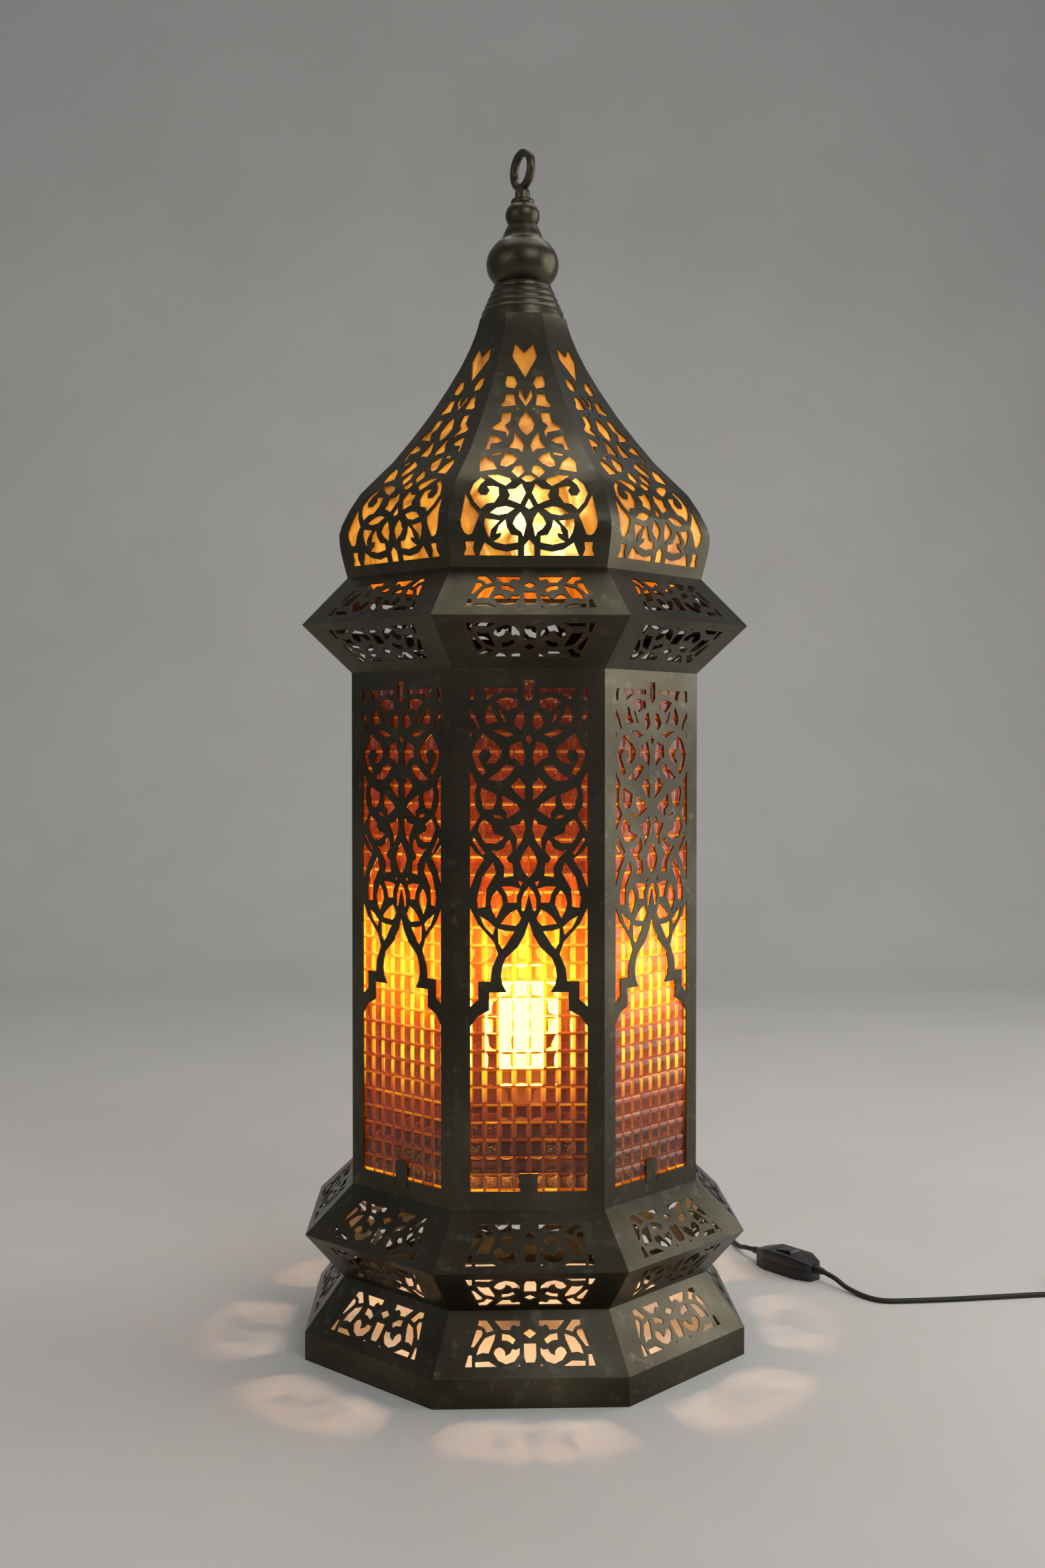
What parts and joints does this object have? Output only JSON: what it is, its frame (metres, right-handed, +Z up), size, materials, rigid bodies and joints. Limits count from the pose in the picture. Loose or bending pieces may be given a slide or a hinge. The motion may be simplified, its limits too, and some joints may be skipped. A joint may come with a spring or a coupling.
{
  "type": "moroccan metal lantern",
  "caption": "Tall octagonal fretwork metal lantern with amber glass panes, an onion dome, a hanging loop, a glazed rear door and a mains lamp with switch and plug.",
  "frame": {"origin": "middle of the foot's bottom flange, on the surface that the lantern stands on", "axes": "+Z up, the front panel faces -Y, the door is on the +Y side"},
  "size_m": [0.8405, 0.5442, 1.116],
  "materials": {
    "antique_metal": "satin antique pewter with an olive tint",
    "amber_glass": "pressed amber glass with pillow-like tiles",
    "amber_liner": "smooth translucent amber",
    "aged_brass": "aged",
    "black_plastic": "satin moulded",
    "black_cord": "matt",
    "bulb_cap": "bright",
    "bulb_glass": "frosted, lit",
    "plug_pins": "nickel plated"
  },
  "bodies": {
    "lantern": {"foot_skirt": "antique_metal", "lower_ring_under": "antique_metal", "lower_ring_top": "antique_metal", "upper_ring_under": "antique_metal", "upper_ring_top": "antique_metal", "panel_front": "antique_metal", "panel_front_right": "antique_metal", "panel_right": "antique_metal", "panel_back_right": "antique_metal", "panel_back_left": "antique_metal", "panel_left": "antique_metal", "panel_front_left": "antique_metal", "glass_clips": "antique_metal", "bottom_frame": "antique_metal", "top_frame": "antique_metal", "dome_frame": "antique_metal", "dome_gores": "antique_metal", "dome_plate": "antique_metal", "finial_collar": "antique_metal", "finial_ball": "antique_metal", "finial_bead": "antique_metal", "hanging_loop": "antique_metal", "lamp_strap": "antique_metal", "glass_front": "amber_glass", "glass_front_right": "amber_glass", "glass_right": "amber_glass", "glass_back_right": "amber_glass", "glass_back_left": "amber_glass", "glass_left": "amber_glass", "glass_front_left": "amber_glass", "hinge_frame_leaves": "aged_brass", "hinge_pins": "aged_brass", "latch_pivot": "aged_brass", "finial_rod": "aged_brass", "finial_nut": "aged_brass", "strap_screws": "aged_brass", "holder_nipple": "aged_brass", "lampholder": "black_plastic", "lampholder_shell": "black_plastic", "shade_ring": "black_plastic", "switch_base": "black_plastic", "switch_cover": "black_plastic", "plug_body": "black_plastic", "inner_lead": "black_cord", "cord_grommet": "black_cord", "cord_lamp_side": "black_cord", "cord_plug_side": "black_cord", "cord_coil": "black_cord", "dome_liner": "amber_liner", "bulb_cap": "bulb_cap", "bulb_globe": "bulb_glass", "plug_pins": "plug_pins"},
    "door": {"door_panel": "antique_metal", "door_glass": "amber_glass", "door_glass_clips": "antique_metal", "hinge_door_leaves": "aged_brass", "latch_eye": "aged_brass"},
    "hook": {"latch_hook": "aged_brass"},
    "rocker": {"switch_rocker": "black_plastic"}
  },
  "joints": [
    {"name": "door_hinge", "type": "hinge", "parent": "lantern", "child": "door", "pos_m": [0.06637, 0.16023, 0.385], "axis": [0, 0, -1], "range_deg": [0, 110]},
    {"name": "hook_pivot", "type": "hinge", "parent": "lantern", "child": "hook", "pos_m": [-0.08059, 0.1471, 0.39], "axis": [-0.7071, 0.7071, 0], "range_deg": [0, 270]},
    {"name": "rocker_pivot", "type": "hinge", "parent": "lantern", "child": "rocker", "pos_m": [0.285, 0.15, 0.0195], "axis": [0.7986, 0.6018, 0], "range_deg": [0, 14]}
  ]
}
